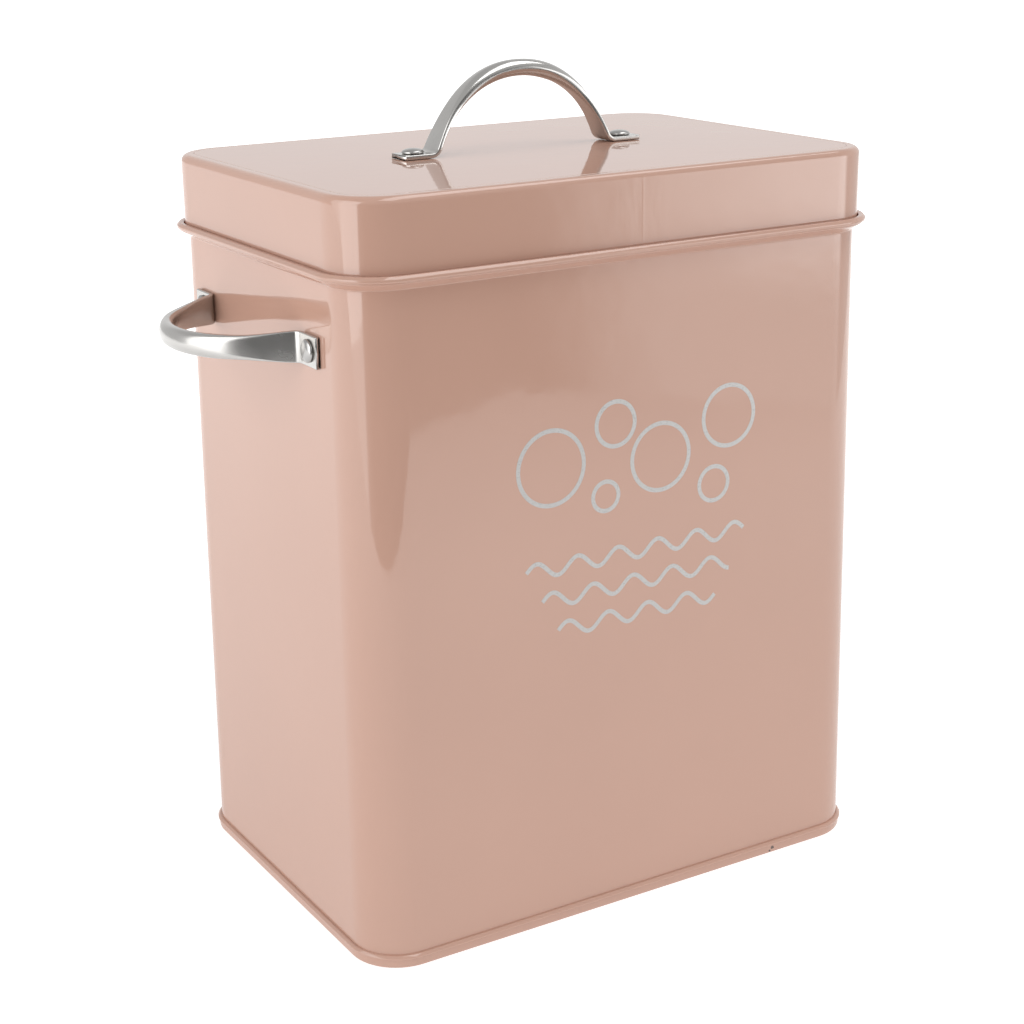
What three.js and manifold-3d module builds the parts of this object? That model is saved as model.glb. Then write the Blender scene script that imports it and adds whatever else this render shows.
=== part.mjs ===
// A laundry powder container: a tall tin of painted sheet steel with rounded corners,
// a lift-off lid that drops into a socket round the rim, and three riveted steel handles.
// Millimetres, Z up. The front faces -Y, and the origin is the middle of the footprint.

import * as THREE from "three";
import { mergeVertices } from "three/addons/utils/BufferGeometryUtils.js";
import Module from "manifold-3d";

const wasm = await Module();
wasm.setup();

// Driving dimensions of the body
const bodyWidth = 200;
const bodyDepth = 139;
const cornerRadius = 17;
const rimHeight = 232;
const wallSheet = 0.6;
// How far each wall leans out from plumb on its way down to the base
const footSpread = 1.6;

// The socket round the rim: the wall flares out to a lip, whose edge is folded outwards
const flareHeight = 5.2;
const flareRise = 2.5;
const lipSheet = 0.7;
const hemBand = 1.5;
const hemFold = 0.6;

// The base panel, seamed round the foot of the wall
const baseSheet = 0.6;
const seamHeight = 4.8;
const seamHemBand = 1.4;
const seamHemFold = 0.5;
const seamRound = 1.2;
const baseRecess = 3.6;

// The lid
const lidStandOff = 1.4;
const lidHeight = 26.5;
const lidSheet = 0.6;
const lidEdgeRadius = 2.5;
const lidShoulder = 2;
const panelSheet = 0.6;
const panelLap = 2;
const panelStep = 1;

// The handles: one bar, flattened at both ends into feet; the side ones arch out a little more
const rivetSpacing = 83;
const lidHandleRise = 30.1;
const sideHandleRise = 31.6;
const footReach = 7;
const footWidth = 10.6;
const footThickness = 1.5;
const footEndRadius = 8;
const stripEdge = 0.4;
const bendPlace = 36.8;
const bendRadius = 3.5;
const legAngle = 66;
const gripWidth = 7.6;
const gripThickness = 5.7;
// The side handles hang this far below the rim, a little behind the middle of the side walls
const sideHandleDrop = 26.8;
const sideHandleSetback = 1.5;

// How the bar changes along each half of the arch, as shares of its length from the foot
const narrowStart = -0.12;
const narrowEnd = 0.4;
const swellStart = 0.05;
const swellEnd = 0.85;
// How straight the leg leaves its bend, as a share of the rise
const legReach = 0.55;

// The rivets
const rivetShankRadius = 2;
const rivetHeadRadius = 3.75;
const rivetHeadHeight = 1.6;
const rivetTailRadius = 3;
const rivetTailHeight = 1.4;

// Bends and folds of the sheets
const flareBend = 1.2;
const lipBend = 0.5;
const hemRound = 0.6;
const dishBend = 0.6;
const seamFold = 0.4;
const tightFold = 0.3;
const sheetEdge = 0.15;
// A panel's flat middle starts this far in from its last bend
const flatInset = 6;

// Clearances
const seamGap = 0.3;
const seatGap = 0.15;
const socketGap = 1.6;
const lapGap = 0.3;
const holeGap = 0.25;

// Fineness of the curves
const cornerSteps = 7;
const foldSteps = 3;
const handleSteps = 13;
const sectionSteps = 3;
const roundSteps = 18;

const paint = new THREE.MeshStandardMaterial({ color: 0xdcb9ac, roughness: 0.18, metalness: 0 });
const steel = new THREE.MeshStandardMaterial({ color: 0xc9c6c1, roughness: 0.16, metalness: 1 });

const sideHandleHeight = rimHeight - sideHandleDrop;
const lipInside = lidStandOff + socketGap;
const lipOutside = lipInside + lipSheet;
const hemOutside = lipOutside + hemFold;
const flareSlope = flareRise / lipOutside;
const flareFoot = rimHeight - flareHeight;
// How much higher the inside of the flare lies than its outside, straight up
const flareLift = wallSheet * Math.hypot(1, flareSlope);
const lidFoot = flareFoot + flareLift + flareSlope * lidStandOff + seamGap;
const lidTop = lidFoot + lidHeight;

// How far the wall stands out at a height, beyond where it stands under the rim
function leanAt(height) {
  return footSpread * Math.max(0, 1 - height / flareFoot);
}

// A corner of an outline, rounded to a radius where it has one
function corner(x, y, radius = 0) {
  return { at: new THREE.Vector2(x, y), radius };
}

// A closed outline with its corners rounded; open ends keep their first and last corner sharp
function rounded(corners, steps = foldSteps) {
  const points = [];
  corners.forEach(({ at, radius }, index) => {
    if (radius === 0) {
      points.push(at);
      return;
    }
    const before = corners[(index + corners.length - 1) % corners.length].at;
    const after = corners[(index + 1) % corners.length].at;
    const arriving = at.clone().sub(before).normalize();
    const leaving = after.clone().sub(at).normalize();
    const turn = Math.atan2(arriving.cross(leaving), arriving.dot(leaving));
    const side = Math.sign(turn);
    const setback = radius * Math.tan(Math.abs(turn) / 2);
    const start = at.clone().addScaledVector(arriving, -setback);
    const inwards = new THREE.Vector2(-arriving.y, arriving.x).multiplyScalar(side * radius);
    const middle = start.clone().add(inwards);
    for (let step = 0; step <= steps; step += 1) {
      points.push(start.clone().rotateAround(middle, (turn * step) / steps));
    }
  });
  return points;
}

// The plan of the tin: places along its outer face, each with the direction that points outwards
// and with the way its corner moves when the walls lean out
function planStations() {
  const stations = [];
  const halfWidth = bodyWidth / 2 - cornerRadius;
  const halfDepth = bodyDepth / 2 - cornerRadius;
  const centres = [[1, 1], [-1, 1], [-1, -1], [1, -1]];
  centres.forEach(([alongX, alongY], quarter) => {
    for (let step = 0; step <= cornerSteps; step += 1) {
      const angle = ((quarter + step / cornerSteps) * Math.PI) / 2;
      const outwards = new THREE.Vector2(Math.cos(angle), Math.sin(angle));
      const place = new THREE.Vector2(alongX * halfWidth, alongY * halfDepth);
      place.addScaledVector(outwards, cornerRadius);
      stations.push({ place, outwards, away: new THREE.Vector2(alongX, alongY) });
    }
  });
  return stations;
}

// Joins loops of equally many points into a skin; the last loop meets the first when closed
function skin(loops, closed) {
  const count = loops[0].length;
  const indices = [];
  const bands = closed ? loops.length : loops.length - 1;
  for (let loop = 0; loop < bands; loop += 1) {
    const next = (loop + 1) % loops.length;
    for (let point = 0; point < count; point += 1) {
      const beside = (point + 1) % count;
      const a = loop * count + point;
      const b = next * count + point;
      const c = next * count + beside;
      const d = loop * count + beside;
      indices.push(a, b, c, a, c, d);
    }
  }
  return indices;
}

// Closes an open skin with a fan at its first and last loop
function capped(loops, indices) {
  const count = loops[0].length;
  const points = loops.flat();
  [0, loops.length - 1].forEach((loop) => {
    const middle = new THREE.Vector3();
    loops[loop].forEach((point) => middle.addScaledVector(point, 1 / count));
    points.push(middle);
    for (let point = 0; point < count; point += 1) {
      const a = loop * count + point;
      const b = loop * count + ((point + 1) % count);
      indices.push(...(loop === 0 ? [a, b, points.length - 1] : [b, a, points.length - 1]));
    }
  });
  return points;
}

function geometryOf(points, indices) {
  const geometry = new THREE.BufferGeometry();
  const flat = points.flatMap((point) => point.toArray());
  geometry.setAttribute("position", new THREE.Float32BufferAttribute(flat, 3));
  geometry.setIndex(indices);
  return geometry;
}

// Carries a sheet's section round the plan; a section's x is measured outwards from the wall
function roundThePlan(section, closed) {
  const loops = planStations().map(({ place, outwards, away }) =>
    section.map((point) => {
      const spot = place.clone().addScaledVector(outwards, point.x);
      spot.addScaledVector(away, leanAt(point.y));
      return new THREE.Vector3(spot.x, spot.y, point.y);
    }));
  if (closed) return geometryOf(loops.flat(), skin(loops, true));
  const rings = section.map((_, place) => loops.map((loop) => loop[place]).reverse());
  const indices = skin(rings, false);
  return geometryOf(capped(rings, indices), indices);
}

function solidOf(geometry) {
  const bare = geometry.clone();
  bare.deleteAttribute("normal");
  bare.deleteAttribute("uv");
  const merged = mergeVertices(bare, 1e-5);
  const vertProperties = new Float32Array(merged.attributes.position.array);
  const triVerts = new Uint32Array(merged.index.array);
  return new wasm.Manifold(new wasm.Mesh({ numProp: 3, vertProperties, triVerts }));
}

function geometryFrom(solid) {
  const mesh = solid.getMesh();
  const geometry = new THREE.BufferGeometry();
  geometry.setAttribute("position", new THREE.BufferAttribute(mesh.vertProperties.slice(), 3));
  geometry.setIndex(new THREE.BufferAttribute(mesh.triVerts.slice(), 1));
  return geometry;
}

// Drills round holes through a piece along one direction
function drilled(geometry, radius, direction, length, places) {
  const alongY = new THREE.Vector3(0, 1, 0);
  const turn = new THREE.Quaternion().setFromUnitVectors(alongY, direction);
  const solid = places.reduce((rest, place) => {
    const drill = new THREE.CylinderGeometry(radius, radius, length, roundSteps);
    drill.applyQuaternion(turn);
    drill.translate(place.x, place.y, place.z);
    return rest.subtract(solidOf(drill));
  }, solidOf(geometry));
  return geometryFrom(solid);
}

function piece(name, geometry, material) {
  const shown = geometry.toNonIndexed();
  shown.computeVertexNormals();
  const mesh = new THREE.Mesh(shown, material);
  mesh.name = name;
  return mesh;
}

const sideDirection = new THREE.Vector3(1, 0, 0);
const upDirection = new THREE.Vector3(0, 0, 1);
const holeRadius = rivetShankRadius + holeGap;
const bothWays = [-1, 1];

// The wall is one sheet wrapped round the plan, flared at the top into the lid's socket
function bodyWall() {
  const foot = baseSheet + seamGap;
  const hemFoot = rimHeight - hemBand;
  const section = rounded([
    corner(-wallSheet, foot),
    corner(0, foot),
    corner(0, flareFoot, flareBend),
    corner(lipOutside, flareFoot + flareRise, lipBend),
    corner(lipOutside, hemFoot, sheetEdge),
    corner(hemOutside, hemFoot, tightFold),
    corner(hemOutside, rimHeight, hemRound),
    corner(lipInside, rimHeight, lipBend),
    corner(lipInside, flareFoot + flareLift + flareSlope * lipInside, tightFold),
    corner(-wallSheet, flareFoot + flareLift - flareSlope * wallSheet, flareBend),
  ]);
  const wall = roundThePlan(section, true);
  const holes = bothWays.map((end) =>
    new THREE.Vector3(0, sideHandleSetback + (end * rivetSpacing) / 2, sideHandleHeight));
  return drilled(wall, holeRadius, sideDirection, 2 * bodyWidth, holes);
}

// The base is a dished panel whose edge runs down inside the wall, under it and up outside
function basePanel() {
  const insideLeg = -wallSheet - seamGap;
  const outsideLeg = seamGap + baseSheet;
  const hem = outsideLeg + seamHemFold;
  const hemFoot = seamHeight - seamHemBand;
  const middle = insideLeg - baseSheet - flatInset;
  const section = rounded([
    corner(middle, baseRecess),
    corner(insideLeg - baseSheet, baseRecess, dishBend),
    corner(insideLeg - baseSheet, 0, seamFold),
    corner(outsideLeg, 0, seamRound),
    corner(outsideLeg, hemFoot, sheetEdge),
    corner(hem, hemFoot, sheetEdge),
    corner(hem, seamHeight, seamFold),
    corner(seamGap, seamHeight, sheetEdge),
    corner(seamGap, baseSheet),
    corner(insideLeg, baseSheet),
    corner(insideLeg, baseRecess + baseSheet, dishBend + tightFold),
    corner(middle, baseRecess + baseSheet),
  ]);
  return roundThePlan(section, false);
}

// The lid's skirt is a band rolled over at the top into a narrow shoulder
function lidSkirt() {
  const inside = lidStandOff - lidSheet;
  const shoulder = lidStandOff - lidEdgeRadius - lidShoulder;
  const section = rounded([
    corner(inside, lidFoot),
    corner(lidStandOff, lidFoot),
    corner(lidStandOff, lidTop, lidEdgeRadius),
    corner(shoulder, lidTop, tightFold),
    corner(shoulder, lidTop - lidSheet),
    corner(inside, lidTop - lidSheet, lidEdgeRadius - lidSheet),
  ]);
  return roundThePlan(section, true);
}

// The lid's panel lies flush inside the shoulder, with its edge stepped down to lap under it
function lidTopPanel() {
  const shoulder = lidStandOff - lidEdgeRadius - lidShoulder;
  const stepTop = shoulder - lapGap;
  const stepFoot = stepTop - panelStep;
  const lapTop = lidTop - lidSheet - lapGap;
  const edge = shoulder + panelLap;
  const middle = stepFoot - flatInset;
  const section = rounded([
    corner(middle, lidTop - panelSheet),
    corner(stepFoot - panelSheet / 2, lidTop - panelSheet, tightFold),
    corner(stepTop - panelSheet, lapTop - panelSheet, tightFold),
    corner(edge, lapTop - panelSheet),
    corner(edge, lapTop),
    corner(stepTop, lapTop),
    corner(stepFoot + panelSheet, lidTop, seamFold),
    corner(middle, lidTop),
  ]);
  const panel = roundThePlan(section, false);
  const holes = bothWays.map((end) => new THREE.Vector3((end * rivetSpacing) / 2, 0, lidTop));
  return drilled(panel, holeRadius, upDirection, 4 * panelSheet, holes);
}

// The line of a handle's bar from foot to foot, with how far along the arch each place is
function handleLine(rise) {
  const level = footThickness / 2;
  const lean = THREE.MathUtils.degToRad(legAngle);
  const top = rise - gripThickness / 2;
  const bendCentre = new THREE.Vector2(bendPlace, level + bendRadius);
  const half = [];
  [rivetSpacing / 2 + footReach + 1, bendPlace].forEach((reach) => {
    half.push({ at: new THREE.Vector2(reach, level), along: 0 });
  });
  for (let step = 1; step <= foldSteps; step += 1) {
    const angle = (lean * step) / foldSteps;
    const swing = new THREE.Vector2(-Math.sin(angle), -Math.cos(angle)).multiplyScalar(bendRadius);
    half.push({ at: bendCentre.clone().add(swing), along: 0 });
  }
  const start = half[half.length - 1].at;
  const away = new THREE.Vector2(-Math.cos(lean), Math.sin(lean));
  const arch = new THREE.CubicBezierCurve(
    start,
    start.clone().addScaledVector(away, legReach * top),
    new THREE.Vector2(start.x / 2, top),
    new THREE.Vector2(0, top),
  );
  for (let step = 1; step <= handleSteps; step += 1) {
    const along = step / handleSteps;
    half.push({ at: arch.getPoint(along), along });
  }
  const mirrored = half.slice(0, -1).reverse().map(({ at, along }) =>
    ({ at: new THREE.Vector2(-at.x, at.y), along }));
  return [...half, ...mirrored];
}

// The bar's section: a flat strip at the feet that narrows soon and swells to an oval grip
function handleSection(along) {
  const narrowed = THREE.MathUtils.smoothstep(along, narrowStart, narrowEnd);
  const swollen = THREE.MathUtils.smoothstep(along, swellStart, swellEnd);
  const halfWidth = THREE.MathUtils.lerp(footWidth, gripWidth, narrowed) / 2;
  const halfThickness = THREE.MathUtils.lerp(footThickness, gripThickness, swollen) / 2;
  const roundWide = THREE.MathUtils.lerp(stripEdge, halfWidth, swollen);
  const roundThick = THREE.MathUtils.lerp(stripEdge, halfThickness, swollen);
  const points = [];
  const quarters = [[1, 1], [-1, 1], [-1, -1], [1, -1]];
  quarters.forEach(([wide, thick], quarter) => {
    const middle = new THREE.Vector2(wide * (halfWidth - roundWide), thick * (halfThickness - roundThick));
    for (let step = 0; step <= sectionSteps; step += 1) {
      const angle = ((quarter + step / sectionSteps) * Math.PI) / 2;
      const swing = new THREE.Vector2(roundWide * Math.cos(angle), roundThick * Math.sin(angle));
      points.push(middle.clone().add(swing));
    }
  });
  return points;
}

// A handle lies along X with its feet on the XY plane; its ends are cut to a shallow curve
function handle(rise) {
  const line = handleLine(rise);
  const loops = line.map(({ at, along: reached }, index) => {
    const before = line[Math.max(index - 1, 0)].at;
    const after = line[Math.min(index + 1, line.length - 1)].at;
    const along = after.clone().sub(before).normalize();
    const outwards = new THREE.Vector2(along.y, -along.x);
    return handleSection(reached).map((point) => {
      const spot = at.clone().addScaledVector(outwards, point.y);
      return new THREE.Vector3(spot.x, point.x, spot.y);
    });
  });
  const indices = skin(loops, false);
  const bar = solidOf(geometryOf(capped(loops, indices), indices));
  const end = rivetSpacing / 2 + footReach;
  const cutter = new THREE.Shape();
  const sweep = Math.asin(Math.min(1, footWidth / 2 / footEndRadius)) + 0.1;
  cutter.absarc(end - footEndRadius, 0, footEndRadius, -sweep, sweep);
  cutter.absarc(footEndRadius - end, 0, footEndRadius, Math.PI - sweep, Math.PI + sweep);
  const block = new THREE.ExtrudeGeometry(cutter, {
    depth: 2 * rise,
    bevelEnabled: false,
    curveSegments: roundSteps,
  });
  block.translate(0, 0, -rise / 2);
  const trimmed = geometryFrom(bar.intersect(solidOf(block)));
  const holes = bothWays.map((way) => new THREE.Vector3((way * rivetSpacing) / 2, 0, 0));
  return drilled(trimmed, holeRadius, upDirection, 4 * footThickness, holes);
}

// A rivet stands on the XY plane, with its head above and its shank and closed tail below
function rivet(grip) {
  const rim = 0.35;
  const tailTop = -grip;
  const tailFoot = tailTop - rivetTailHeight;
  const profile = [new THREE.Vector2(0, tailFoot), new THREE.Vector2(rivetTailRadius - rim, tailFoot)];
  profile.push(new THREE.Vector2(rivetTailRadius, tailFoot + rim));
  profile.push(new THREE.Vector2(rivetTailRadius, tailTop));
  profile.push(new THREE.Vector2(rivetShankRadius, tailTop));
  profile.push(new THREE.Vector2(rivetShankRadius, 0));
  profile.push(new THREE.Vector2(rivetHeadRadius, 0));
  for (let step = 0; step <= foldSteps + 1; step += 1) {
    const angle = ((Math.PI / 2) * step) / (foldSteps + 1);
    const out = rivetHeadRadius * Math.cos(angle);
    profile.push(new THREE.Vector2(out, rim + (rivetHeadHeight - rim) * Math.sin(angle)));
  }
  profile[profile.length - 1].x = 0;
  const lathe = new THREE.LatheGeometry(profile, roundSteps);
  lathe.rotateX(Math.PI / 2);
  return lathe;
}

// Puts a handle and its two rivets on a sheet, in a group that can be turned to face any way
function handleSet(names, rise, sheet) {
  const set = new THREE.Group();
  const strap = piece(names.handle, handle(rise), steel);
  strap.position.z = seatGap;
  set.add(strap);
  const headSeat = 2 * seatGap + footThickness;
  const grip = headSeat + sheet + seatGap;
  names.rivets.forEach((name, index) => {
    const fastener = piece(name, rivet(grip), steel);
    fastener.position.set((bothWays[index] * rivetSpacing) / 2, 0, headSeat);
    set.add(fastener);
  });
  return set;
}

const container = new THREE.Group();
container.add(piece("body_wall", bodyWall(), paint));
container.add(piece("base_panel", basePanel(), paint));
container.add(piece("lid_skirt", lidSkirt(), paint));
container.add(piece("lid_top_panel", lidTopPanel(), paint));

const lidNames = { handle: "lid_handle", rivets: ["lid_rivet_left", "lid_rivet_right"] };
const lidSet = handleSet(lidNames, lidHandleRise, panelSheet);
lidSet.position.z = lidTop;
container.add(lidSet);

// On a side wall the handle's own X runs front to back and its own Z points out of the wall
const sides = [{ side: "left", way: -1 }, { side: "right", way: 1 }];
sides.forEach(({ side, way }) => {
  const names = { handle: `side_handle_${side}`, rivets: [`${side}_rivet_front`, `${side}_rivet_back`] };
  const set = handleSet(names, sideHandleRise, wallSheet);
  const outwards = new THREE.Vector3(way, 0, 0);
  const backwards = new THREE.Vector3(0, 1, 0);
  const across = new THREE.Vector3().crossVectors(outwards, backwards);
  set.quaternion.setFromRotationMatrix(new THREE.Matrix4().makeBasis(backwards, across, outwards));
  const wallFace = bodyWidth / 2 + leanAt(sideHandleHeight);
  set.position.set(way * wallFace, sideHandleSetback, sideHandleHeight);
  container.add(set);
});

export default container;
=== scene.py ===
import bmesh
import bpy
import math
from mathutils import Matrix, Vector


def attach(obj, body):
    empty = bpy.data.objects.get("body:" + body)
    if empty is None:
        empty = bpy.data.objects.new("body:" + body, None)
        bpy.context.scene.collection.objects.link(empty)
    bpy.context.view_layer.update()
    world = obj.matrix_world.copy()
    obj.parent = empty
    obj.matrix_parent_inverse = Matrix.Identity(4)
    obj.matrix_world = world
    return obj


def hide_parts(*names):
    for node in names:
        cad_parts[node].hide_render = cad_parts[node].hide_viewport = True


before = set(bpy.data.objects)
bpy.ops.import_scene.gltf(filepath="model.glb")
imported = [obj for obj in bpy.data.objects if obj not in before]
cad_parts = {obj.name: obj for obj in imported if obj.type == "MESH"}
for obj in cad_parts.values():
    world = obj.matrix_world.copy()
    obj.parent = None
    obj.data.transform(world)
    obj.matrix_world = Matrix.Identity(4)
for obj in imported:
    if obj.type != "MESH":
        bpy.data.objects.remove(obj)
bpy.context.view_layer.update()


# The body wall: one band of thin sheet steel, bent to a rounded rectangle and joined at the back.
# Its top flares out into a socket, with the edge rolled outwards into a bead, and it is stove enamelled.
# Sections are written in millimetres, as (distance out from the wall, height, corner radius).
PLAN_WIDTH, PLAN_DEPTH, CORNER, CORNER_STEPS = 200, 139, 17, 14
WALL_LEAN, LEAN_TOP = 1.6, 226.8
SHEET, RIM_TOP = 0.6, 232
LONG_SPAN, EDGE_HOLD = 1.4, 0.4
END_STRETCH, STRETCHES = 0.6, 10


def rounded_section(corners, tightness=0.3):
    points = []
    for index, (x, z, radius) in enumerate(corners):
        here = Vector((x, z))
        arriving = (here - Vector(corners[index - 1][:2])).normalized()
        leaving = (Vector(corners[(index + 1) % len(corners)][:2]) - here).normalized()
        turn = math.atan2(arriving.cross(leaving), arriving.dot(leaving))
        if radius == 0 or abs(turn) < 0.01:
            points.append(here)
            continue
        steps = max(3, math.ceil(radius * abs(turn) / tightness))
        start = here - arriving * radius * math.tan(abs(turn) / 2)
        middle = start + Vector((-arriving.y, arriving.x)) * math.copysign(radius, turn)
        for step in range(steps + 1):
            points.append(middle + Matrix.Rotation(turn * step / steps, 2) @ (start - middle))
    held = []
    for index, point in enumerate(points):
        held.append(point)
        beside = points[(index + 1) % len(points)]
        span = (beside - point).length
        if span > LONG_SPAN:
            held.append(point.lerp(beside, EDGE_HOLD / span))
            held.append(beside.lerp(point, EDGE_HOLD / span))
    return held


def carried_round_plan(section, closed=True):
    centre_x, centre_y = PLAN_WIDTH / 2 - CORNER, PLAN_DEPTH / 2 - CORNER
    bm = bmesh.new()
    verts = [bm.verts.new((-centre_x, -PLAN_DEPTH / 2 - out, height)) for out, height in section]
    edges = [bm.edges.new(pair) for pair in zip(verts, verts[1:])]
    if closed:
        edges.append(bm.edges.new((verts[-1], verts[0])))
    walk = [
        (Vector((1, 0, 0)), 2 * centre_x, (centre_x, -centre_y, 0)),
        (Vector((0, 1, 0)), 2 * centre_y, (centre_x, centre_y, 0)),
        (Vector((-1, 0, 0)), 2 * centre_x, (-centre_x, centre_y, 0)),
        (Vector((0, -1, 0)), 2 * centre_y, (-centre_x, -centre_y, 0)),
    ]
    for way, length, corner_centre in walk:
        inner = (length - 2 * END_STRETCH) / STRETCHES
        stretches = [END_STRETCH] + [inner] * STRETCHES + [END_STRETCH]
        for stretch in stretches:
            grown = bmesh.ops.extrude_edge_only(bm, edges=edges)["geom"]
            verts = [part for part in grown if isinstance(part, bmesh.types.BMVert)]
            edges = [part for part in grown if isinstance(part, bmesh.types.BMEdge)
                     and part.verts[0] in verts and part.verts[1] in verts]
            bmesh.ops.translate(bm, verts=verts, vec=way * stretch)
        turned = bmesh.ops.spin(bm, geom=verts + edges, cent=corner_centre, axis=(0, 0, 1),
                                angle=math.pi / 2, steps=CORNER_STEPS)["geom_last"]
        verts = [part for part in turned if isinstance(part, bmesh.types.BMVert)]
        edges = [part for part in turned if isinstance(part, bmesh.types.BMEdge)]
    bmesh.ops.remove_doubles(bm, verts=bm.verts, dist=0.001)
    if not closed:
        rims = [edge for edge in bm.edges if edge.is_boundary]
        bmesh.ops.holes_fill(bm, edges=rims, sides=0)
    for vert in bm.verts:
        lean = WALL_LEAN * max(0, 1 - vert.co.z / LEAN_TOP)
        vert.co.x += lean * max(-1, min(1, vert.co.x / centre_x))
        vert.co.y += lean * max(-1, min(1, vert.co.y / centre_y))
    bmesh.ops.recalc_face_normals(bm, faces=bm.faces)
    return bm


def finished(bm, name, body, material, nodes=()):
    bmesh.ops.scale(bm, verts=bm.verts, vec=(0.001, 0.001, 0.001))
    for face in bm.faces:
        face.smooth = True
    mesh = bpy.data.meshes.new(name)
    bm.to_mesh(mesh)
    bm.free()
    mesh.materials.append(material)
    made = bpy.data.objects.new(name, mesh)
    bpy.context.scene.collection.objects.link(made)
    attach(made, body)
    if nodes:
        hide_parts(*nodes)
    return made


# Gloss enamel over steel: a hard, even coat with a fine orange peel, slow waves in the sheet
# that bend its reflections, and small chips and specks down to dark metal.
def node_group(name, inputs, outputs):
    group = bpy.data.node_groups.new(name, "ShaderNodeTree")
    for socket, kind in inputs:
        group.interface.new_socket(socket, in_out="INPUT", socket_type=kind)
    for socket, kind in outputs:
        group.interface.new_socket(socket, in_out="OUTPUT", socket_type=kind)
    return group, group.nodes.new("NodeGroupInput"), group.nodes.new("NodeGroupOutput")


def placed(tree, kind, values=(), links=(), **settings):
    node = tree.nodes.new(kind)
    for key, value in settings.items():
        setattr(node, key, value)
    for socket, value in values:
        node.inputs[socket].default_value = value
    for socket, source in links:
        tree.links.new(source, node.inputs[socket])
    return node


def ranged(tree, source, start, end, low=0.0, high=1.0, easing="LINEAR"):
    limits = [("From Min", start), ("From Max", end), ("To Min", low), ("To Max", high)]
    node = placed(tree, "ShaderNodeMapRange", limits, [("Value", source)], interpolation_type=easing)
    return node.outputs["Result"]


def worked(tree, operation, *sources):
    values = [(socket, source) for socket, source in enumerate(sources) if isinstance(source, float)]
    links = [(socket, source) for socket, source in enumerate(sources) if not isinstance(source, float)]
    return placed(tree, "ShaderNodeMath", values, links, operation=operation).outputs["Value"]


def noise(tree, source, scale, detail):
    node = placed(tree, "ShaderNodeTexNoise", [("Scale", scale), ("Detail", detail)], [("Vector", source)])
    return node.outputs["Fac"]


def scaled(tree, source, share):
    node = placed(tree, "ShaderNodeVectorMath", links=[(0, source), ("Scale", share)], operation="SCALE")
    return node.outputs["Vector"]


enamel, enamel_in, enamel_out = node_group(
    "enamel_surface",
    [("Paint", "NodeSocketColor"), ("Place", "NodeSocketVector")],
    [("Colour", "NodeSocketColor"), ("Roughness", "NodeSocketFloat"), ("Peel", "NodeSocketFloat")])
shade = ranged(enamel, noise(enamel, enamel_in.outputs["Place"], 14, 3), 0.3, 0.7, 0.985, 1.015)
gloss = ranged(enamel, noise(enamel, enamel_in.outputs["Place"], 60, 4), 0.3, 0.75, 0.04, 0.065)
fine_high = worked(enamel, "MULTIPLY", noise(enamel, enamel_in.outputs["Place"], 420, 1), 0.4)
middling = noise(enamel, enamel_in.outputs["Place"], 110, 1)
middling_high = worked(enamel, "MULTIPLY_ADD", middling, 3.2, fine_high)
slow_high = worked(enamel, "MULTIPLY", noise(enamel, enamel_in.outputs["Place"], 38, 1), 9.0)
enamel.links.new(scaled(enamel, enamel_in.outputs["Paint"], shade), enamel_out.inputs["Colour"])
enamel.links.new(gloss, enamel_out.inputs["Roughness"])
enamel.links.new(worked(enamel, "ADD", middling_high, slow_high), enamel_out.inputs["Peel"])

chip, chip_in, chip_out = node_group(
    "chip",
    [("Place", "NodeSocketVector"), ("Centre", "NodeSocketVector"), ("Size", "NodeSocketFloat")],
    [("Mask", "NodeSocketFloat")])
jagged = noise(chip, chip_in.outputs["Place"], 1600, 2)
away = placed(chip, "ShaderNodeVectorMath", links=[(0, chip_in.outputs["Place"]), (1, chip_in.outputs["Centre"])],
              operation="DISTANCE")
ragged = worked(chip, "ADD", worked(chip, "DIVIDE", away.outputs["Value"], chip_in.outputs["Size"]), jagged)
chip.links.new(ranged(chip, ragged, 1.55, 1.4), chip_out.inputs["Mask"])


def new_material(name):
    material = bpy.data.materials.new(name)
    material.use_nodes = True
    return material, material.node_tree, material.node_tree.nodes["Principled BSDF"]


PAINT, BARE_METAL = (0.585, 0.35, 0.268, 1), (0.14, 0.095, 0.08, 1)
PAINT_IOR, BUMP_HEIGHT, WELD_HALF_WIDTH, RIPPLE_REACH, FACE_START = 1.7, 0.000009, 0.0007, 0.017, 0.06


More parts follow.
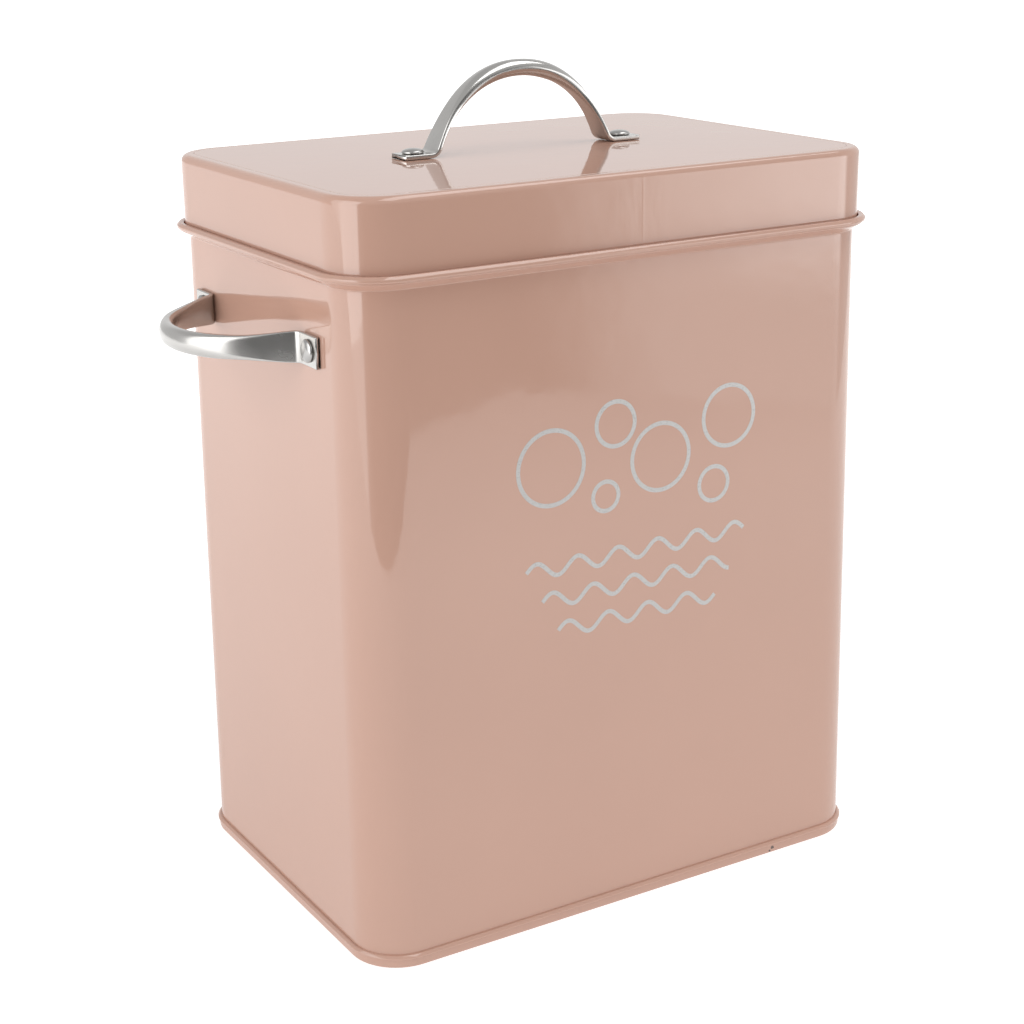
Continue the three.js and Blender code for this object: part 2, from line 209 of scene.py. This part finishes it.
def painted(name, chips=(), seam=None):
    material, tree, shader = new_material(name)
    shader.inputs["IOR"].default_value = PAINT_IOR
    place = tree.nodes.new("ShaderNodeTexCoord").outputs["Object"]
    surface = placed(tree, "ShaderNodeGroup", node_tree=enamel)
    surface.inputs["Paint"].default_value = PAINT
    tree.links.new(place, surface.inputs["Place"])
    colour, height = surface.outputs["Colour"], surface.outputs["Peel"]
    for centre, size in chips:
        spot = placed(tree, "ShaderNodeGroup", node_tree=chip)
        spot.inputs["Centre"].default_value = centre
        spot.inputs["Size"].default_value = size
        tree.links.new(place, spot.inputs["Place"])
        mixed = placed(tree, "ShaderNodeMix", [(7, BARE_METAL)], [(0, spot.outputs["Mask"]), (6, colour)],
                       data_type="RGBA")
        colour = mixed.outputs[2]
    if seam:
        along, front, depth, ripples = seam
        apart = placed(tree, "ShaderNodeSeparateXYZ", links=[(0, place)])
        this_side = worked(tree, "GREATER_THAN", worked(tree, "MULTIPLY", apart.outputs["Y"], front), FACE_START)
        near = worked(tree, "ABSOLUTE", worked(tree, "SUBTRACT", apart.outputs["X"], along))
        total = ranged(tree, near, WELD_HALF_WIDTH, 0.0, high=depth, easing="SMOOTHERSTEP")
        if ripples:
            ripple_place = placed(tree, "ShaderNodeVectorMath", [(1, (1.0, 0.0, 0.22))], [(0, place)],
                                  operation="MULTIPLY")
            ripple = noise(tree, ripple_place.outputs["Vector"], 330, 1)
            reach = ranged(tree, near, RIPPLE_REACH, 0.001, high=ripples, easing="SMOOTHERSTEP")
            total = worked(tree, "ADD", total, worked(tree, "MULTIPLY", ripple, reach))
        height = worked(tree, "ADD", height, worked(tree, "MULTIPLY", total, this_side))
    bump = placed(tree, "ShaderNodeBump", [("Strength", 1.0), ("Distance", BUMP_HEIGHT)], [("Height", height)])
    tree.links.new(colour, shader.inputs["Base Color"])
    tree.links.new(surface.outputs["Roughness"], shader.inputs["Roughness"])
    tree.links.new(bump.outputs["Normal"], shader.inputs["Normal"])
    return material


wall = carried_round_plan(rounded_section([
    (-SHEET, 0.9, 0.1), (0, 0.9, 0.1), (0, 227.2, 0.3), (3.5, 229.5, 0.3), (3.5, 230.0, 0.1),
    (4.3, 230.0, 0.5), (4.3, RIM_TOP - 0.85, 0.4), (3.45, RIM_TOP, 0.4), (1.8, RIM_TOP, 0.5), (1.8, 228.74, 0.2),
    (-SHEET, 227.119, 1.2),
]))
finished(wall, "enamelled_wall", "container",
         painted("enamel_wall", chips=[((-0.0935, -0.0672, 0.037), 0.0006), ((-0.0925, -0.0683, 0.0142), 0.0005)],
                 seam=(0.0, 1.0, 9.0, 0)), nodes=["body_wall"])


# The base: a dished panel of the same sheet, with its edge folded round the foot of the wall and
# rolled tight into a seam that the tin stands on. It is enamelled together with the wall.
SEAM_TOP, SEAM_OUT = 4.8, 1.4
base = carried_round_plan(rounded_section([
    (-7.5, 3.6, 0), (-1.5, 3.6, SHEET), (-1.5, 0, 0.4), (0.9, 0, 1.2), (0.9, 3.4, 0.1), (SEAM_OUT, 3.4, 0.15),
    (SEAM_OUT, SEAM_TOP - 0.8, 0.15), (SEAM_OUT - 0.7, SEAM_TOP - 0.1, 0.15), (0.03, SEAM_TOP, 0.02),
    (0.03, 0.6, 0.02), (-0.9, 0.6, 0.1), (-0.9, 3.6 + SHEET, 0.9), (-7.5, 3.6 + SHEET, 0),
], tightness=0.2), closed=False)
finished(base, "seamed_base", "container",
         painted("enamel_base", chips=[((0.0616, -0.0722, 0.0022), 0.0007), ((0.0604, -0.0722, 0.0012), 0.0005)]),
         nodes=["base_panel"])


# The strap handles: oval steel bar pressed flat at both ends into feet and bent to an arch,
# polished all over, the same bar three times. The two on the sides stand a little further out.
FOOT_END, FOOT_ROUND, BEND_PLACE, BEND_RADIUS, LEG_ANGLE = 48.5, 8, 36.8, 3.5, math.radians(66)
FOOT_WIDTH, FOOT_THICK, GRIP_WIDTH, GRIP_THICK, EDGE_ROUND = 10.6, 1.5, 7.6, 5.7, 0.4
FOOT_TAPER = 3.5
SIDE_RISE, LID_RISE = 31.6, 30.1


def smooth_share(value, start, end):
    share = max(0, min(1, (value - start) / (end - start)))
    return share * share * (3 - 2 * share)


def ring_begun(bm, count):
    ring = [bm.verts.new((0, 0, 0)) for _ in range(count)]
    bm.faces.new(ring)
    return ring, [bm.edges.get(pair) for pair in zip(ring, ring[1:] + ring[:1])]


def ring_pushed_on(bm, ring, edges):
    grown = bmesh.ops.extrude_edge_only(bm, edges=edges)["geom"]
    fresh = [part for part in grown if isinstance(part, bmesh.types.BMVert)]
    ring = [next(edge.other_vert(old) for edge in old.link_edges if edge.other_vert(old) in fresh) for old in ring]
    return ring, [part for part in grown if isinstance(part, bmesh.types.BMEdge)
                  and part.verts[0] in fresh and part.verts[1] in fresh]


def strap_section(along):
    narrowed, swollen = smooth_share(along, -0.12, 0.4), smooth_share(along, 0.05, 0.85)
    half_width = (FOOT_WIDTH + (GRIP_WIDTH - FOOT_WIDTH) * narrowed) / 2
    half_thick = (FOOT_THICK + (GRIP_THICK - FOOT_THICK) * swollen) / 2
    round_wide = EDGE_ROUND + (half_width - EDGE_ROUND) * swollen
    round_thick = EDGE_ROUND + (half_thick - EDGE_ROUND) * swollen
    points = []
    for quarter, (wide, thick) in enumerate([(1, 1), (-1, 1), (-1, -1), (1, -1)]):
        for step in range(8):
            angle = (quarter + step / 7) * math.pi / 2
            points.append((wide * (half_width - round_wide) + round_wide * math.cos(angle),
                           thick * (half_thick - round_thick) + round_thick * math.sin(angle)))
    return points


def strap_line(rise):
    top, level = rise - GRIP_THICK / 2, FOOT_THICK / 2
    half = [(Vector((reach, level)), 0) for reach in (FOOT_END, FOOT_END - 0.3, 45.6, 43, 40, 38)]
    for step in range(13):
        angle = LEG_ANGLE * step / 12
        reach, lifted = BEND_PLACE - BEND_RADIUS * math.sin(angle), BEND_RADIUS * (1 - math.cos(angle))
        half.append((Vector((reach, level + lifted)), 0))
    start = half[-1][0]
    points = [start, start + 0.55 * top * Vector((-math.cos(LEG_ANGLE), math.sin(LEG_ANGLE))),
              Vector((start.x / 2, top)), Vector((0, top))]
    for step in range(1, 37):
        t = step / 36
        weights = ((1 - t) ** 3, 3 * t * (1 - t) ** 2, 3 * t * t * (1 - t), t ** 3)
        half.append((sum((point * weight for point, weight in zip(points, weights)), Vector((0, 0))), t))
    return half + [(Vector((-place.x, place.y)), along) for place, along in reversed(half[:-1])]


def strap_handle(rise, lift):
    line = strap_line(rise)
    bm = bmesh.new()
    for index, (place, along) in enumerate(line):
        before, after = line[max(index - 1, 0)][0], line[min(index + 1, len(line) - 1)][0]
        ahead = (after - before).normalized()
        section = strap_section(along)
        ring, edges = ring_pushed_on(bm, ring, edges) if index else ring_begun(bm, len(section))
        for vert, (across, out) in zip(ring, section):
            spot = place + Vector((ahead.y, -ahead.x)) * out
            vert.co = (spot.x, across, spot.y + lift)
            past = abs(place.x) - (FOOT_END - FOOT_TAPER)
            if past > 0:
                cut = FOOT_ROUND - math.sqrt(FOOT_ROUND ** 2 - across ** 2)
                vert.co.x -= math.copysign(cut * past / FOOT_TAPER, place.x)
    bm.faces.new(ring)
    bmesh.ops.remove_doubles(bm, verts=bm.verts, dist=0.001)
    bmesh.ops.recalc_face_normals(bm, faces=bm.faces)
    return bm


# Polished steel: near mirror, with soft smears, a fine grain and shallow ripples along the bar.
polish, polish_in, polish_out = node_group(
    "polish_marks",
    [("Metal", "NodeSocketColor"), ("Place", "NodeSocketVector"), ("Dullness", "NodeSocketFloat")],
    [("Colour", "NodeSocketColor"), ("Roughness", "NodeSocketFloat"), ("Grain", "NodeSocketFloat")])
smudge = noise(polish, polish_in.outputs["Place"], 130, 5)
cloudy, worn = ranged(polish, smudge, 0.35, 0.75, 0.0, 0.09), ranged(polish, smudge, 0.3, 0.8, 1.0, 0.9)
grain = noise(polish, polish_in.outputs["Place"], 900, 2)
hammer_high = worked(polish, "MULTIPLY", noise(polish, polish_in.outputs["Place"], 150, 1), 5.0)
rough = worked(polish, "ADD", cloudy, polish_in.outputs["Dullness"])
polish.links.new(scaled(polish, polish_in.outputs["Metal"], worn), polish_out.inputs["Colour"])
polish.links.new(rough, polish_out.inputs["Roughness"])
polish.links.new(worked(polish, "ADD", grain, hammer_high), polish_out.inputs["Grain"])
GRAIN_HEIGHT = 0.000004


def polished(name, metal, dullness, stretch):
    material, tree, shader = new_material(name)
    shader.inputs["Metallic"].default_value = 1.0
    coordinates = tree.nodes.new("ShaderNodeTexCoord")
    along = placed(tree, "ShaderNodeMapping", [("Scale", stretch)], [("Vector", coordinates.outputs["Object"])])
    marks = placed(tree, "ShaderNodeGroup", node_tree=polish)
    marks.inputs["Metal"].default_value = metal
    marks.inputs["Dullness"].default_value = dullness
    tree.links.new(along.outputs["Vector"], marks.inputs["Place"])
    bump = placed(tree, "ShaderNodeBump", [("Strength", 1.0), ("Distance", GRAIN_HEIGHT)],
                  [("Height", marks.outputs["Grain"])])
    tree.links.new(marks.outputs["Colour"], shader.inputs["Base Color"])
    tree.links.new(marks.outputs["Roughness"], shader.inputs["Roughness"])
    tree.links.new(bump.outputs["Normal"], shader.inputs["Normal"])
    return material


SHEET_GAP, HANDLE_HEIGHT, SETBACK = 0.15, 205.2, 1.5
WALL_FACE = PLAN_WIDTH / 2 + WALL_LEAN * (1 - HANDLE_HEIGHT / LEAN_TOP)
HANDLE_METAL, RIVET_METAL = (0.58, 0.568, 0.55, 1), (0.46, 0.45, 0.44, 1)
side_steel = polished("side_handle_steel", HANDLE_METAL, 0.2, (1.0, 0.35, 1.0))
side_seats = []
for side, way in (("left", -1), ("right", 1)):
    turn = Matrix(((0, 0, way), (1, 0, 0), (0, way, 0))).to_4x4()
    seat = Matrix.Translation((way * WALL_FACE, SETBACK, HANDLE_HEIGHT)) @ turn
    side_seats.append((side, seat))
    bar = strap_handle(SIDE_RISE, SHEET_GAP)
    bmesh.ops.transform(bar, matrix=seat, verts=bar.verts)
    finished(bar, f"carrying_handle_{side}", "container", side_steel, nodes=[f"side_handle_{side}"])


# The rivets: solid steel, with a low domed head on the outside, the shank through foot and sheet,
# and the tail set flat inside. Two hold each handle, and a fine shadow line shows under each head.
HEAD_RADIUS, HEAD_EDGE, HEAD_DOME, SHANK, TAIL_RADIUS, TAIL_THICK = 3.75, 0.35, 1.25, 2, 3, 1.4


def rivet(grip):
    bm = bmesh.new()
    foot = -grip - TAIL_THICK
    profile = [(0, foot), (TAIL_RADIUS - 0.35, foot), (TAIL_RADIUS - 0.1, foot + 0.1), (TAIL_RADIUS, foot + 0.35),
               (TAIL_RADIUS, -grip), (SHANK, -grip), (SHANK, 0),
               (HEAD_RADIUS - 0.15, 0), (HEAD_RADIUS, 0.15), (HEAD_RADIUS, HEAD_EDGE)]
    for step in range(1, 11):
        angle = math.pi / 2 * step / 10
        out = HEAD_RADIUS * math.cos(angle) if step < 10 else 0
        profile.append((out, HEAD_EDGE + HEAD_DOME * math.sin(angle)))
    verts = [bm.verts.new((out, 0, height)) for out, height in profile]
    edges = [bm.edges.new(pair) for pair in zip(verts, verts[1:])]
    bmesh.ops.spin(bm, geom=verts + edges, cent=(0, 0, 0), axis=(0, 0, 1), angle=2 * math.pi, steps=40,
                   use_merge=True)
    bmesh.ops.remove_doubles(bm, verts=bm.verts, dist=0.001)
    bmesh.ops.recalc_face_normals(bm, faces=bm.faces)
    return bm


RIVET_REACH, HEAD_SEAT = 41.5, 2 * SHEET_GAP + FOOT_THICK
rivet_steel = polished("rivet_steel_finish", RIVET_METAL, 0.2, (1.0, 1.0, 1.0))
for side, seat in side_seats:
    for end, way in (("front", -1), ("back", 1)):
        fastener = rivet(HEAD_SEAT + SHEET + SHEET_GAP)
        place = seat @ Matrix.Translation((way * RIVET_REACH, 0, HEAD_SEAT))
        bmesh.ops.transform(fastener, matrix=place, verts=fastener.verts)
        finished(fastener, f"rivet_{side}_{end}", "container", rivet_steel,
                 nodes=[f"{side}_rivet_{end}"])


# The print on the front: thin silver strokes of screen ink, in a plain pattern of soap bubbles
# above three waves. The ink stands a few hundredths of a millimetre proud of the enamel.
STROKE, INK = 1.5, 0.04
WAVE_HEIGHT, WAVE_LENGTH, WAVE_STEPS, TOP_WAVE, WAVE_GAP = 2.6, 16, 96, 129, 11


def front_face(height):
    return -PLAN_DEPTH / 2 - WALL_LEAN * (1 - height / LEAN_TOP)


def laid_on_front(bm):
    for vert in bm.verts:
        vert.co.y += front_face(vert.co.z)


ink_lines = bmesh.new()
for x, z, radius in [(-32, 163, 12.5), (-7, 174, 7.5), (11, 160, 11.5), (39, 170, 10.5), (-11, 150, 5), (33, 147, 6)]:
    half = STROKE / 2
    corners = [(radius - half, 0), (radius + half, 0), (radius + half, -INK), (radius - half, -INK)]
    verts = [ink_lines.verts.new((x + out, depth, z)) for out, depth in corners]
    edges = [ink_lines.edges.new(pair) for pair in zip(verts, verts[1:] + verts[:1])]
    bmesh.ops.spin(ink_lines, geom=verts + edges, cent=(x, 0, z), axis=(0, 1, 0), angle=2 * math.pi, steps=72,
                   use_merge=True)
for row, (start, end) in enumerate([(-42, 46), (-36, 40), (-30, 34)]):
    z = TOP_WAVE - WAVE_GAP * row
    corners = [(-STROKE / 2, 0), (STROKE / 2, 0), (STROKE / 2, -INK), (-STROKE / 2, -INK)]
    for step in range(WAVE_STEPS + 1):
        x = start + (end - start) * step / WAVE_STEPS
        swing = (x - start) / WAVE_LENGTH * 2 * math.pi
        slope = WAVE_HEIGHT * 2 * math.pi / WAVE_LENGTH * math.cos(swing)
        upright = Vector((-slope, 1)).normalized()
        ring, edges = ring_pushed_on(ink_lines, ring, edges) if step else ring_begun(ink_lines, len(corners))
        for vert, (up, depth) in zip(ring, corners):
            vert.co = (x + upright.x * up, depth, z + WAVE_HEIGHT * math.sin(swing) + upright.y * up)
    ink_lines.faces.new(ring)
bmesh.ops.remove_doubles(ink_lines, verts=ink_lines.verts, dist=0.0005)
laid_on_front(ink_lines)
bmesh.ops.recalc_face_normals(ink_lines, faces=ink_lines.faces)
silver, ink_tree, ink_shader = new_material("silver_ink")
ink_place = ink_tree.nodes.new("ShaderNodeTexCoord").outputs["Object"]
flake = noise(ink_tree, ink_place, 2600, 2)
ink_colour = placed(ink_tree, "ShaderNodeVectorMath", [(0, (0.54, 0.53, 0.52))],
                    [("Scale", ranged(ink_tree, flake, 0.3, 0.7, 0.92, 1.06))], operation="SCALE")
ink_shader.inputs["Metallic"].default_value = 0.3
ink_tree.links.new(ink_colour.outputs["Vector"], ink_shader.inputs["Base Color"])
ink_tree.links.new(ranged(ink_tree, flake, 0.3, 0.7, 0.25, 0.38), ink_shader.inputs["Roughness"])
print_piece = finished(ink_lines, "front_print", "container", silver)
for face in print_piece.data.polygons:
    face.use_smooth = False


# The lid's skirt: a band of sheet bent round and butt welded at the front, where the weld still
# shows as a faint upright line with ripples beside it. Its top is rolled over to a narrow shoulder.
LID_FOOT, LID_TOP = 228.770, 255.270
PANEL_FOOT, EDGE_DROP = LID_TOP - SHEET, 0.9
skirt = carried_round_plan(rounded_section([
    (0.8, LID_FOOT, 0.12), (1.4, LID_FOOT, 0.12), (1.4, LID_TOP, 2.5), (-3.1, LID_TOP, 0.1),
    (-3.1, LID_TOP - SHEET, 0.1), (0.8, LID_TOP - SHEET, 1.9),
]))
finished(skirt, "lid_band", "lid", painted("enamel_lid_band", seam=(0.0027, -1.0, 0.8, 2.6)),
         nodes=["lid_skirt"])


# The lid's panel: a flat sheet with its edge stepped down under the shoulder, so that only a hairline
# shows between the two. It is enamelled with the same paint as the rest.
top = carried_round_plan(rounded_section([
    (-10.4, PANEL_FOOT, 0), (-4.7, PANEL_FOOT, 0.3), (-4.0, PANEL_FOOT - EDGE_DROP, 0.3),
    (-1.1, PANEL_FOOT - EDGE_DROP, 0.1), (-1.1, LID_TOP - EDGE_DROP, 0.1), (-3.15, LID_TOP - EDGE_DROP, 0.05),
    (-3.15, LID_TOP, 0.1), (-10.4, LID_TOP, 0),
], tightness=0.2), closed=False)
finished(top, "lid_panel", "lid", painted("enamel_lid_panel"), nodes=["lid_top_panel"])


# The lid's handle: the same polished bar, riveted down through its flattened feet in the middle of
# the panel, so it lifts away with the lid.
lid_steel = polished("lid_handle_steel", HANDLE_METAL, 0.12, (0.35, 1.0, 1.0))
lid_seat = Matrix.Translation((0, 0, LID_TOP))
lid_bar = strap_handle(LID_RISE, SHEET_GAP)
bmesh.ops.transform(lid_bar, matrix=lid_seat, verts=lid_bar.verts)
finished(lid_bar, "lifting_handle", "lid", lid_steel, nodes=["lid_handle"])
for side, way in (("left", -1), ("right", 1)):
    fastener = rivet(HEAD_SEAT + SHEET + SHEET_GAP)
    place = lid_seat @ Matrix.Translation((way * RIVET_REACH, 0, HEAD_SEAT))
    bmesh.ops.transform(fastener, matrix=place, verts=fastener.verts)
    finished(fastener, f"lid_rivet_head_{side}", "lid", rivet_steel, nodes=[f"lid_rivet_{side}"])


# The studio floor: a pale translucent table lit from below, dimmer toward its front edge. It ends in
# front of the tin, and the gloss paint mirrors that edge and the dark room beyond it.
FLOOR_OUTLINE = [
    (-1.6, 0.17), (0.246, -0.682), (0.363, -0.736), (0.521, -0.569), (1.9, 0.9), (5.0, 4.0), (5.0, 9.0), (-1.0, 9.0),
    (-1.6, 3.0),
]
floor_mesh = bmesh.new()
floor_verts = [floor_mesh.verts.new((x, y, 0)) for x, y in FLOOR_OUTLINE]
floor_mesh.faces.new(floor_verts)
floor_data = bpy.data.meshes.new("studio_floor")
floor_mesh.to_mesh(floor_data)
floor_mesh.free()
floor = bpy.data.objects.new("studio_floor", floor_data)
bpy.context.scene.collection.objects.link(floor)
floor_paint, floor_tree, floor_shader = new_material("floor_paper")
floor_shader.inputs["Base Color"].default_value = (0.6, 0.6, 0.6, 1)
floor_shader.inputs["Roughness"].default_value = 0.9
floor_shader.inputs["Specular IOR Level"].default_value = 0.0
floor_shader.inputs["Emission Color"].default_value = (1, 1, 1, 1)
floor_place = floor_tree.nodes.new("ShaderNodeTexCoord").outputs["Object"]
floor_far = placed(floor_tree, "ShaderNodeVectorMath", [(1, (0, 0, 0))], [(0, floor_place)], operation="DISTANCE")
floor_glow = ranged(floor_tree, floor_far.outputs["Value"], 0.15, 0.9, 0.5, 0.9, "SMOOTHSTEP")
floor_front = placed(floor_tree, "ShaderNodeSeparateXYZ", links=[(0, floor_place)])
floor_fade = ranged(floor_tree, floor_front.outputs["Y"], -0.8, -0.35, 0.3, 1.0, "SMOOTHSTEP")
floor_rays = floor_tree.nodes.new("ShaderNodeLightPath")
floor_lit = worked(floor_tree, "MULTIPLY_ADD", floor_rays.outputs["Is Glossy Ray"], 0.1, floor_glow)
floor_faded = worked(floor_tree, "MULTIPLY", floor_lit, floor_fade)
floor_seen = worked(floor_tree, "MULTIPLY_ADD", floor_rays.outputs["Is Camera Ray"], 0.25, floor_faded)
floor_tree.links.new(floor_seen, floor_shader.inputs["Emission Strength"])
floor_data.materials.append(floor_paint)


# The light: a dark room with a white sweep that the front face mirrors, a window on the front right
# that the corner mirrors, and a strip light on the left. Mirrored and straight views of the room have
# their own strengths, as an overexposed studio has in a photograph.
world = bpy.data.worlds.new("studio")
bpy.context.scene.world = world
world.use_nodes = True
sky = world.node_tree
background = sky.nodes["Background"]
heading = placed(sky, "ShaderNodeSeparateXYZ", links=[(0, sky.nodes.new("ShaderNodeTexCoord").outputs["Generated"])])
across, deep, upward = (heading.outputs[axis] for axis in "XYZ")
SOFT = "SMOOTHSTEP"
sweep, low = ranged(sky, deep, -0.68, -0.38, easing=SOFT), ranged(sky, upward, 0.7, 0.35, easing=SOFT)
above = ranged(sky, upward, -0.05, 0.6, 0.18, 0.6, SOFT)
cloth = ranged(sky, across, -0.25, 0.25, 0.72, 0.88, SOFT)
mirrored = placed(sky, "ShaderNodeMix", links=[(0, worked(sky, "MULTIPLY", sweep, low)), (2, above), (3, cloth)],
                  data_type="FLOAT")

window_side, window_front = ranged(sky, across, 0.51, 0.57, easing=SOFT), ranged(sky, deep, -0.4, -0.6, easing=SOFT)
window_sill = ranged(sky, upward, -0.34, -0.26, high=1.15, easing=SOFT)
window_head = ranged(sky, upward, 0.35, 0.1, easing=SOFT)
pane = ranged(sky, across, 0.52, 0.68, 1.0, 2.8, SOFT)
pane_up = placed(sky, "ShaderNodeMapRange", [("From Min", -0.2), ("From Max", -0.15), ("To Min", 1.0)],
                 [("Value", upward), ("To Max", pane)], interpolation_type=SOFT).outputs["Result"]
window_across = worked(sky, "MULTIPLY", window_side, window_front)
window_lit = worked(sky, "MULTIPLY", worked(sky, "MULTIPLY", window_sill, window_head), pane_up)
window = worked(sky, "MULTIPLY_ADD", window_across, window_lit, mirrored.outputs[0])

strip_left = ranged(sky, across, -0.6, -0.75, high=1.2, easing=SOFT)
strip_front, strip_back = ranged(sky, deep, -0.5, -0.42, easing=SOFT), ranged(sky, deep, 0.3, 0.05, easing=SOFT)
room = worked(sky, "MULTIPLY_ADD", worked(sky, "MULTIPLY", strip_front, strip_back), strip_left, window)
rays = sky.nodes.new("ShaderNodeLightPath")
lighting = placed(sky, "ShaderNodeMix", [(2, 0.5)], [(0, rays.outputs["Is Glossy Ray"]), (3, room)],
                  data_type="FLOAT")
seen = placed(sky, "ShaderNodeMix", [(3, 1.05)], [(0, rays.outputs["Is Camera Ray"]), (2, lighting.outputs[0])],
              data_type="FLOAT")
background.inputs["Color"].default_value = (1, 1, 1, 1)
sky.links.new(seen.outputs[0], background.inputs["Strength"])


def soft_box(name, place, aim, width, height, watts):
    light = bpy.data.lights.new(name, "AREA")
    light.shape = "RECTANGLE"
    light.size, light.size_y = width, height
    light.energy = watts
    lamp = bpy.data.objects.new(name, light)
    bpy.context.scene.collection.objects.link(lamp)
    lamp.location = place
    lamp.rotation_euler = (Vector(aim) - Vector(place)).to_track_quat("-Z", "Y").to_euler()
    return lamp


soft_box("left_box", (-1.7, -0.1, 0.7), (0, 0, 0.12), 1.9, 1.9, 14.5)
soft_box("overhead_box", (0.5, -0.4, 1.75), (0, 0, 0.1), 1.8, 0.8, 11)
soft_box("window_fill", (1.06, -1.28, 0.22), (0, 0, 0.2), 0.7, 0.7, 3.0).visible_glossy = False


# The camera stands in front, a little to the left and above the lid, with a short telephoto lens,
# where the photograph was taken from. It is turned just under a degree about its own line of sight.
azimuth, elevation, roll, distance = math.radians(-30.94), math.radians(17.80), math.radians(-0.86), 0.71366
LOOKED_AT, SIDE_SHIFT, UP_SHIFT = (0, 0, 0.125), -0.0043, -0.00098
level = math.cos(elevation)
back = Vector((math.sin(azimuth) * level, -math.cos(azimuth) * level, math.sin(elevation)))
right = Vector((math.cos(azimuth), math.sin(azimuth), 0))
up = back.cross(right)
lens = bpy.data.cameras.new("photo_lens")
lens.sensor_width, lens.lens = 36, 68.86
lens.clip_start, lens.clip_end = 0.01, 50
camera = bpy.data.objects.new("photo_camera", lens)
bpy.context.scene.collection.objects.link(camera)
stand = Vector(LOOKED_AT) + back * distance + right * SIDE_SHIFT + up * UP_SHIFT
level_right = right * math.cos(roll) + up * math.sin(roll)
level_up = up * math.cos(roll) - right * math.sin(roll)
camera.matrix_world = Matrix((
    (level_right.x, level_up.x, back.x, stand.x),
    (level_right.y, level_up.y, back.y, stand.y),
    (level_right.z, level_up.z, back.z, stand.z),
    (0, 0, 0, 1),
))
bpy.context.scene.camera = camera
bpy.context.scene.view_settings.view_transform = "Standard"
